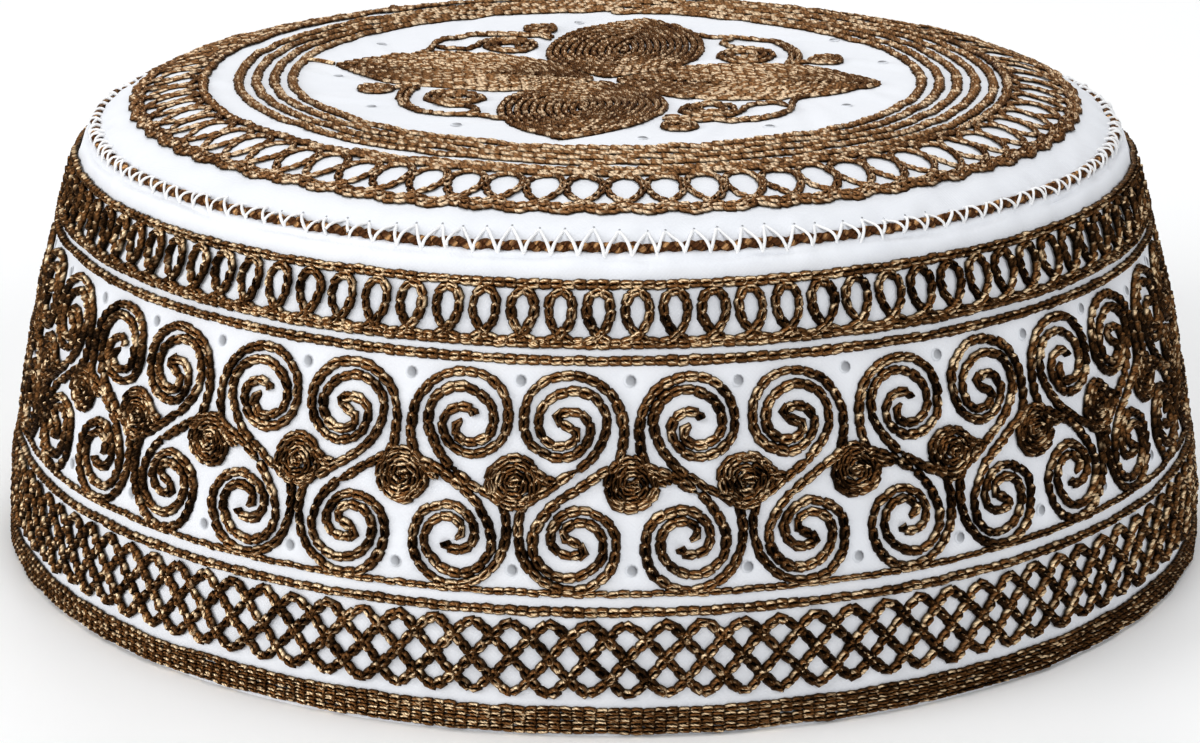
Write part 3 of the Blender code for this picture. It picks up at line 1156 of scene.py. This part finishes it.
def whip_stitches():
    """White thread: up over the cord to a hole above it and back down, all the way round."""
    legs = []
    holes = []
    step = math.tau / WHIP_COUNT
    round_cap = np.arange(WHIP_COUNT) * step
    at_front = np.clip(np.cos(round_cap) - WHIP_FRONT, 0.0, 1.0) / (1.0 - WHIP_FRONT)
    reach = WHIP_SHORT + (WHIP_LONG - WHIP_SHORT) * at_front
    reach += WHIP_LENGTH_SPREAD * rng.normal(size=WHIP_COUNT)
    below = WHIP_BELOW + WHIP_SPREAD * rng.normal(size=WHIP_COUNT)
    wander = rng.normal(0.0, WHIP_SIDE_SPREAD, WHIP_COUNT)
    share = np.linspace(0.0, 1.0, 13)
    for index in range(WHIP_COUNT):
        high, low = reach[index], below[index]
        top = (index + 0.5 + wander[index]) * step
        foot = (index + 0.12 * wander[index]) * step
        next_foot = (index + 1 + 0.12 * wander[(index + 1) % WHIP_COUNT]) * step
        if at_front[index] > 0.0:
            holes.append((top, SEAM_AT + high + NEEDLE_HOLE_ABOVE, NEEDLE_HOLE_RADIUS))
        for start, end in ((foot, top - 0.03 * step), (next_foot, top + 0.03 * step)):
            from_seam = (high + low) * share - low
            bends = (-low, -0.6, 0.0, 0.6, 0.55 * high + 0.25, high)
            lift = np.interp(from_seam, bends, WHIP_ARCH)
            legs.append(on_cap(start + (end - start) * share, SEAM_AT + from_seam, lift))
    return np.stack(legs), holes


def jump_thread():
    """A loose thread that jumps from a petal's row to the innermost spiral row."""
    plan = smooth_through(JUMP_THREAD, 0.25)
    return on_cap(*crown_line(*plan.T, 0.25).T)[None]


lay_tubes(
    "twisted_seam_cord", seam_cord_plies(), CORD_PLY_RADIUS, 6, True, cord_thread, 0.5,
    ("seam_cord",),
)
whip_legs, needle_holes = whip_stitches()
lay_tubes("whip_stitches", whip_legs, WHIP_RADIUS, 4, False, sewing_thread, 0.5)
lay_tubes("jump_thread", jump_thread(), JUMP_RADIUS, 6, False, embroidery, 0.8)

# Vent holes: a pressed rim with a dark pit, laid on the cloth
HOLE_RADIUS = 0.68
UPPER_HOLES_AT = 47.3
LOWER_HOLES_AT = 22.3
HOLE_FIRST_DEG = -7.7
HOLES_ROUND = 36
HOLE_SIDES = 10
HOLE_STEP_DEG = 360.0 / HOLES_ROUND
HOLE_TURN_SPREAD_DEG = 0.3
HOLE_RISE_SPREAD = 0.2
RIM_REACH = 1.35
LIP_WIDTH = 0.32
SLOPE_WIDTH = 0.3
LIP_HEIGHT = 0.22
PIT_HEIGHT = 0.05
HolePlace = namedtuple("HolePlace", "x y")
CROWN_HOLES = [HolePlace(*row) for row in (
    (-35.8, 22.2), (-40.8, -0.9), (-34.3, -22.1), (-21.3, -33.8), (-4.4, 40.6), (36.9, 27.5),
    (43.2, 9.0), (35.5, -20.1), (23.5, -33.3), (5.2, -40.9),
)]


def make_vent_holes():
    """A low pressed rim with a shaded pit in it, laid on the cloth at each place."""
    places = []
    for rise in (UPPER_HOLES_AT, LOWER_HOLES_AT):
        for index in range(HOLES_ROUND):
            turn_deg = HOLE_FIRST_DEG + HOLE_STEP_DEG * index + HOLE_TURN_SPREAD_DEG * rng.normal()
            rise_here = rise + HOLE_RISE_SPREAD * rng.normal()
            places.append((math.radians(turn_deg), rise_here, HOLE_RADIUS))
    for hole in CROWN_HOLES:
        along = float(along_at_crown(math.hypot(hole.x, hole.y)))
        places.append((math.atan2(hole.x, -hole.y), along, HOLE_RADIUS))
    places += needle_holes
    theta, along, size = np.array(places).T
    bm = bmesh.new()
    bmesh.ops.create_circle(bm, cap_ends=True, segments=HOLE_SIDES, radius=RIM_REACH)
    for width in (LIP_WIDTH, SLOPE_WIDTH):
        pit = [f for f in bm.faces if len(f.verts) == HOLE_SIDES]
        bmesh.ops.inset_region(
            bm, faces=pit, use_boundary=True, use_even_offset=True, thickness=width, depth=0.0,
        )
    bmesh.ops.triangulate(bm, faces=[f for f in bm.faces if len(f.verts) > 4])
    flat, faces = corners_and_faces(bm)
    reach = np.hypot(flat[:, 0], flat[:, 1])
    rim = reach > RIM_REACH - LIP_WIDTH / 2.0
    lip = (reach > RIM_REACH - LIP_WIDTH - SLOPE_WIDTH / 2.0) & ~rim
    height = np.where(rim, 0.0, np.where(lip, LIP_HEIGHT, PIT_HEIGHT))
    flat = flat[None] * size[:, None, None]
    centre = on_cap(theta, along, np.full(len(theta), 0.02))
    normal = normal_at(theta, along)
    right = np.stack([np.cos(theta), np.sin(theta), np.zeros(len(theta))], -1)
    up = np.cross(normal, right)
    spots = (
        centre[:, None] + right[:, None] * flat[..., :1] + up[:, None] * flat[..., 1:2]
        + normal[:, None] * height[None, :, None] * size[:, None, None]
    )
    mesh = bpy.data.meshes.new("vent_holes")
    every = [[c + len(reach) * n for c in f] for n in range(len(places)) for f in faces]
    mesh.from_pydata((spots.reshape(-1, 3) * MM).tolist(), [], every)
    mesh.shade_smooth()
    # Painted shade: the pit is dark and the lip is darker on one side, as where shade falls into a hole
    shaded_side = 0.5 - 0.5 * (flat[0, :, 0] + 0.5 * flat[0, :, 1]) / (size[0] * 1.2)
    tone = np.where(rim, 1.0, np.where(lip, 1.15 * shaded_side, 0.18 + 0.5 * shaded_side))
    add_value(mesh, "ToneAndPaintedLight", np.tile(np.clip(tone, 0.0, 1.0), len(places)))
    return add_piece("vent_holes", mesh, hole_shade)


make_vent_holes()

# Floor and light
FLOOR_RADIUS = 4.0
LIGHT_SIZE = 0.8
StudioLight = namedtuple("StudioLight", "name place aim_height power")
STUDIO_LIGHTS = [
    StudioLight("overhead", (0.0, 0.05, 1.10), 0.05, 3.0),
    StudioLight("left", (-1.35, -0.55, 0.50), 0.03, 7.6),
    StudioLight("right", (1.35, -0.45, 0.55), 0.03, 1.2),
    StudioLight("behind", (0.0, 1.15, 0.85), 0.06, 4.6),
    StudioLight("front_left", (-0.75, -1.30, 0.95), 0.03, 6.0),
    StudioLight("front_right", (0.75, -1.30, 0.90), 0.03, 5.5),
]


def make_floor():
    bm = bmesh.new()
    bmesh.ops.create_circle(bm, cap_ends=True, segments=96, radius=FLOOR_RADIUS)
    mesh = bpy.data.meshes.new("floor")
    bm.to_mesh(mesh)
    bm.free()
    material, tree, shader = new_material("pale_floor")
    cloud = noise(tree, object_place(tree), 3.0, 2.0)
    colour = blend_colours(tree, cloud, (0.93, 0.93, 0.93, 1.0), (0.95, 0.95, 0.95, 1.0))
    fill(tree, shader, Base_Color=colour, Roughness=0.9)
    mesh.materials.append(material)
    obj = bpy.data.objects.new("floor", mesh)
    scene.collection.objects.link(obj)


def area_light(row):
    light = bpy.data.lights.new(row.name, "AREA")
    light.shape = "DISK"
    light.size = LIGHT_SIZE
    light.energy = row.power
    obj = bpy.data.objects.new(row.name, light)
    obj.location = row.place
    way = Vector((0.0, 0.0, row.aim_height)) - obj.location
    obj.rotation_euler = way.to_track_quat("-Z", "Y").to_euler()
    scene.collection.objects.link(obj)


def make_light():
    world = bpy.data.worlds.new("studio")
    world.use_nodes = True
    background = world.node_tree.nodes["Background"]
    background.inputs["Color"].default_value = (0.96, 0.98, 1.0, 1.0)
    background.inputs["Strength"].default_value = 0.30
    scene.world = world
    for row in STUDIO_LIGHTS:
        area_light(row)


make_floor()
make_light()
scene.view_settings.view_transform = "Standard"
scene.view_settings.look = "Medium High Contrast"
